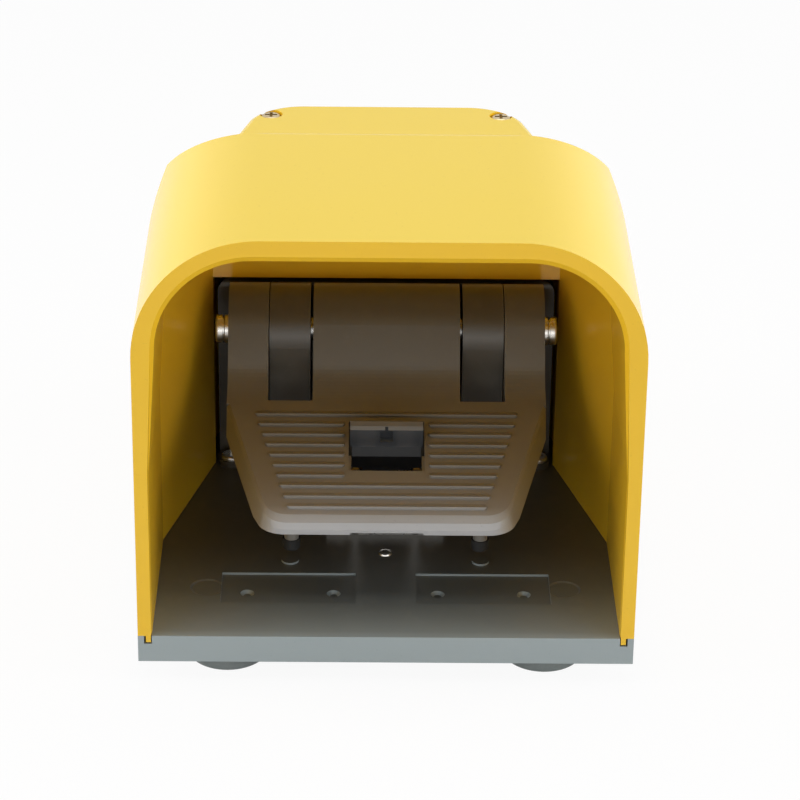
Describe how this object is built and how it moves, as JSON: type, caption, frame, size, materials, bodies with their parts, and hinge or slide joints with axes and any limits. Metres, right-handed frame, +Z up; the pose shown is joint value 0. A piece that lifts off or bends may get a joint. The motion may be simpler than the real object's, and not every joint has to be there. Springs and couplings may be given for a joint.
{
  "type": "industrial foot switch",
  "caption": "Foot switch with a protective hood, a ribbed hinged pedal and a toe-operated safety catch, on a base with a rear cable entry.",
  "frame": {"origin": "on the floor, under the middle of the base", "axes": "+Z up, -Y towards the open front where the foot goes in, +Y towards the cable entry, +X to the right when looking from behind the hood's front, that is along +Y"},
  "size_m": [0.16, 0.215, 0.155],
  "materials": {
    "hood_plastic": "semi-gloss yellow moulding",
    "base_plastic": "satin blue-grey moulding",
    "pedal_plastic": "satin dark grey moulding",
    "housing_plastic": "matte black moulding",
    "catch_plastic": "satin dark blue-grey moulding",
    "contact_plastic": "off-white moulding",
    "steel": "zinc plated",
    "spring_steel": "drawn wire",
    "brass": "machined",
    "rubber": "matte",
    "foot_rubber": "matte grey"
  },
  "bodies": {
    "base": {"base_plate": "base_plastic", "hood": "hood_plastic", "terminal_lid": "hood_plastic", "lid_gasket": "rubber", "lid_screws": "steel", "hood_screws": "steel", "switch_housing": "housing_plastic", "housing_screws": "steel", "contact_block_left": "contact_plastic", "contact_block_right": "contact_plastic", "contact_screws": "steel", "terminal_screws": "brass", "plunger_seals": "rubber", "rubber_feet": "foot_rubber", "foot_screws": "steel", "fixing_inserts": "brass", "floor_rivet": "steel", "catch_bracket": "steel", "catch_bracket_screws": "steel", "axle": "steel", "axle_caps": "steel", "thrust_washers": "steel", "catch_pin": "steel", "return_spring_left": "spring_steel", "return_spring_right": "spring_steel"},
    "pedal": {"pedal": "pedal_plastic", "pedal_bushes": "brass", "stop_buffers": "foot_rubber"},
    "catch": {"catch_lever": "catch_plastic", "catch_spring": "spring_steel"},
    "plunger_l": {"plunger_left": "contact_plastic"},
    "plunger_r": {"plunger_right": "contact_plastic"}
  },
  "joints": [
    {"name": "pedal_hinge", "type": "hinge", "parent": "base", "child": "pedal", "pos_m": [0, 0.001, 0.0753], "axis": [1, 0, 0], "range_deg": [0, 6], "stiffness_Nm_per_rad": 5, "springref_deg": -8.59, "deforming": ["return_spring_left", "return_spring_right"]},
    {"name": "catch_hinge", "type": "hinge", "parent": "base", "child": "catch", "pos_m": [0, -0.0415, 0.041], "axis": [-1, 0, 0], "range_deg": [0, 18]},
    {"name": "plunger_left_slide", "type": "slide", "parent": "base", "child": "plunger_l", "axis": [0, 1, 0], "range_m": [0, 0.0034]},
    {"name": "plunger_right_slide", "type": "slide", "parent": "base", "child": "plunger_r", "axis": [0, 1, 0], "range_m": [0, 0.0034]}
  ],
  "couplings": [
    {"joint": "catch_hinge", "follows": "pedal_hinge", "ratio": 3},
    {"joint": "plunger_left_slide", "follows": "pedal_hinge", "m_per_rad": 0.0315},
    {"joint": "plunger_right_slide", "follows": "pedal_hinge", "m_per_rad": 0.0315}
  ]
}
